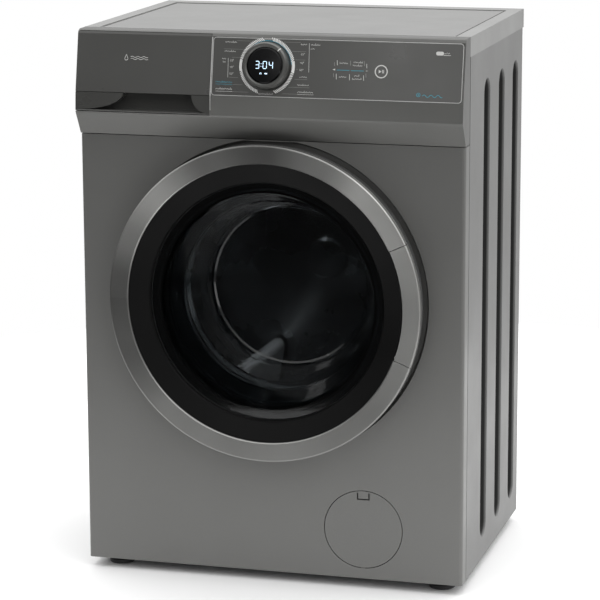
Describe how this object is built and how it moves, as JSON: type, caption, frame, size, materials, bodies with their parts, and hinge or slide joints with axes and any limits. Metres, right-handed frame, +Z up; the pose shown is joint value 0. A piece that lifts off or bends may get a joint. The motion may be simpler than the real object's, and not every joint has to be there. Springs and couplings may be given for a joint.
{
  "type": "front load washing machine",
  "caption": "Free-standing front load washing machine with a round glass door, a detergent drawer and a dial with a display.",
  "frame": {"origin": "on the floor, under the middle of the bounding box", "axes": "+X to the user's right, +Y towards the back, +Z up"},
  "size_m": [0.6, 0.497, 0.85],
  "materials": {
    "side_paint": "satin grey enamel on sheet steel",
    "front_paint": "satin dark grey enamel on sheet steel",
    "rear_steel": "grey enamel on galvanised sheet",
    "bare_steel": "zinc plated steel",
    "base_plastic": "dark moulded base",
    "lid_plastic": "pale grey textured plastic",
    "lid_laminate": "grey laminate board",
    "console_plastic": "painted grey plastic, satin",
    "fascia_plastic": "dark grey plastic with a smooth satin face",
    "plated_trim": "thin satin plated trim",
    "display_glass": "black gloss lens",
    "circuit": "green circuit board",
    "knob_plastic": "metallic grey painted plastic",
    "tray_plastic": "white moulded plastic",
    "cap_plastic": "blue moulded plastic",
    "housing_plastic": "pale moulded plastic",
    "fitting_plastic": "white moulded fitting",
    "dark_fitting": "dark moulded fitting",
    "ring_paint": "metallic grey painted ring",
    "door_black": "black gloss plastic",
    "door_dark": "black moulded frame",
    "bowl_glass": "thick tinted pressed glass",
    "zinc_cast": "cast alloy",
    "gasket_rubber": "grey rubber bellows",
    "tub_plastic": "filled plastic tub",
    "ballast": "cast ballast",
    "drum_steel": "stainless steel",
    "lifter_plastic": "white moulded plastic",
    "belt_rubber": "ribbed rubber belt",
    "motor_shell": "motor with alloy end shields",
    "spring_steel": "spring steel",
    "foot_rubber": "black hard plastic foot",
    "hose_rubber": "black rubber hose"
  },
  "bodies": {
    "cabinet": {"side_panel_left": "side_paint", "side_panel_right": "side_paint", "front_panel": "front_paint", "rear_panel": "rear_steel", "rear_cover": "rear_steel", "base_pan": "base_plastic", "lid_frame": "lid_plastic", "lid_board": "lid_laminate", "crossbars": "bare_steel", "console_body": "console_plastic", "control_fascia": "fascia_plastic", "fascia_trim": "plated_trim", "dial_ring": "plated_trim", "display_lens": "display_glass", "control_board": "circuit", "drawer_housing": "housing_plastic", "inlet_valve": "fitting_plastic", "drain_outlet": "dark_fitting", "cable_gland": "dark_fitting", "fasteners": "bare_steel", "hinge_bracket": "zinc_cast", "door_lock": "fitting_plastic", "gasket": "gasket_rubber", "gasket_clamp": "spring_steel", "springs": "spring_steel", "dampers": "dark_fitting", "drain_pump": "dark_fitting", "sump_hose": "hose_rubber"},
    "tub": {"tub_front": "tub_plastic", "tub_rear": "tub_plastic", "counterweight_front": "ballast", "counterweight_top": "ballast", "bearings": "bare_steel", "motor": "motor_shell", "heater": "spring_steel", "drive_belt": "belt_rubber"},
    "drum": {"drum_shell": "drum_steel", "drum_front": "drum_steel", "drum_back": "drum_steel", "drum_lifters": "lifter_plastic", "drum_spider": "zinc_cast", "drum_pulley": "zinc_cast"},
    "rotor": {"motor_pulley": "bare_steel"},
    "door": {"door_trim_ring": "ring_paint", "door_inner_frame": "door_black", "glass_bowl": "bowl_glass", "door_back_frame": "door_dark", "hinge_arm": "zinc_cast"},
    "pull_handle": {"door_handle": "ring_paint"},
    "latch": {"latch_hook": "zinc_cast"},
    "drawer": {"drawer_front": "fascia_plastic", "drawer_tray": "tray_plastic", "siphon_cap": "cap_plastic"},
    "knob": {"programme_knob": "knob_plastic"},
    "cover": {"filter_cover": "front_paint"},
    "filter": {"pump_filter": "cap_plastic"},
    "foot_front_left": {"foot_front_left": "foot_rubber"},
    "foot_front_right": {"foot_front_right": "foot_rubber"},
    "foot_rear_left": {"foot_rear_left": "foot_rubber"},
    "foot_rear_right": {"foot_rear_right": "foot_rubber"}
  },
  "joints": [
    {"name": "tub_bounce", "type": "slide", "parent": "cabinet", "child": "tub", "axis": [0, 0, 1], "range_m": [-0.01, 0.01], "stiffness_N_per_m": 14000, "springref_m": 0.0232, "deforming": ["springs", "dampers", "sump_hose", "gasket"]},
    {"name": "drum_spin", "type": "hinge", "parent": "tub", "child": "drum", "pos_m": [0, 0.0265, 0.446], "axis": [0, 1, 0], "continuous": true},
    {"name": "rotor_spin", "type": "hinge", "parent": "tub", "child": "rotor", "pos_m": [-0.12, 0.1965, 0.104], "axis": [0, 1, 0], "continuous": true},
    {"name": "door_swing", "type": "hinge", "parent": "cabinet", "child": "door", "pos_m": [-0.228, -0.2295, 0.446], "axis": [0, 0, -1], "range_deg": [0, 130]},
    {"name": "handle_pull", "type": "hinge", "parent": "door", "child": "pull_handle", "pos_m": [0.206, -0.241, 0.446], "axis": [0, 0, -1], "range_deg": [0, 8], "stiffness_Nm_per_rad": 2, "springref_deg": -2.86},
    {"name": "latch_turn", "type": "hinge", "parent": "door", "child": "latch", "pos_m": [0.2185, -0.2115, 0.446], "axis": [0, 0, 1], "range_deg": [0, 12]},
    {"name": "drawer_slide", "type": "slide", "parent": "cabinet", "child": "drawer", "axis": [0, -1, 0], "range_m": [0, 0.2]},
    {"name": "knob_turn", "type": "hinge", "parent": "cabinet", "child": "knob", "pos_m": [0, -0.21451, 0.803], "axis": [0, -0.9814, 0.1918], "continuous": true},
    {"name": "cover_fold", "type": "hinge", "parent": "cabinet", "child": "cover", "pos_m": [0.145, -0.2036, 0.0331], "axis": [1, 0, 0], "range_deg": [0, 90]},
    {"name": "filter_turn", "type": "hinge", "parent": "cabinet", "child": "filter", "pos_m": [0.145, -0.1635, 0.094], "axis": [0, -1, 0], "range_deg": [0, 90]},
    {"name": "foot_front_left_screw", "type": "slide", "parent": "cabinet", "child": "foot_front_left", "axis": [0, 0, -1], "range_m": [0, 0.01]},
    {"name": "foot_front_right_screw", "type": "slide", "parent": "cabinet", "child": "foot_front_right", "axis": [0, 0, -1], "range_m": [0, 0.01]},
    {"name": "foot_rear_left_screw", "type": "slide", "parent": "cabinet", "child": "foot_rear_left", "axis": [0, 0, -1], "range_m": [0, 0.01]},
    {"name": "foot_rear_right_screw", "type": "slide", "parent": "cabinet", "child": "foot_rear_right", "axis": [0, 0, -1], "range_m": [0, 0.01]}
  ],
  "couplings": [
    {"joint": "rotor_spin", "follows": "drum_spin", "ratio": 14},
    {"joint": "latch_turn", "follows": "handle_pull", "ratio": 1.5}
  ]
}
